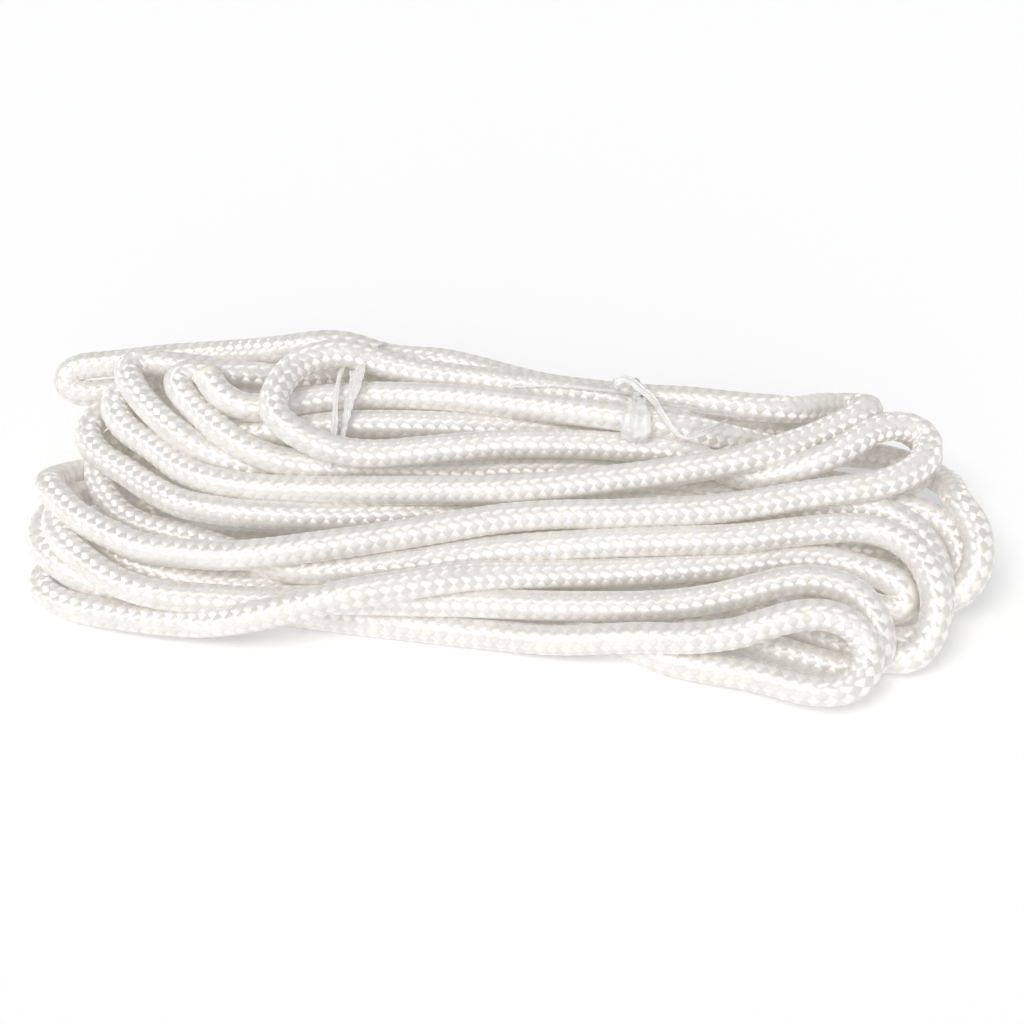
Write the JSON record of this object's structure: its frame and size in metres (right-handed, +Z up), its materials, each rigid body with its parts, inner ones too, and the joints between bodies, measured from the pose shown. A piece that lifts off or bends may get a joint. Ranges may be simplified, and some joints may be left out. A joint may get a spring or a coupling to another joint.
{
  "type": "dock line",
  "caption": "Braided mooring line wound into a loose elongated hank and held by thin film ties, with heat-sealed ends.",
  "frame": {"origin": "middle of the footprint of the hank on the surface that it lies on", "axes": "+X along the hank's length to its open end loops, -Y towards its loose front turns, +Z up"},
  "size_m": [0.3194, 0.1295, 0.0614],
  "materials": {
    "rope_cover": "lustrous twisted nylon filament, braided",
    "rope_core": "dull braided filament",
    "sealed_end": "melted and set filament",
    "film": "thin milky film, twisted and creased"
  },
  "bodies": {
    "hank": {"rope_hank": "rope_cover", "small_loop": "rope_cover", "cut_end_cover": "rope_cover", "cut_end_core": "rope_core", "cut_end_seal": "sealed_end", "tail_end_run": "rope_cover", "tail_end_seal": "sealed_end", "left_tie_band": "film", "right_tie_band": "film", "right_tie_knot": "film", "right_tie_left_tail": "film", "right_tie_twisted_tail": "film", "right_tie_flat_tail": "film"}
  },
  "joints": []
}
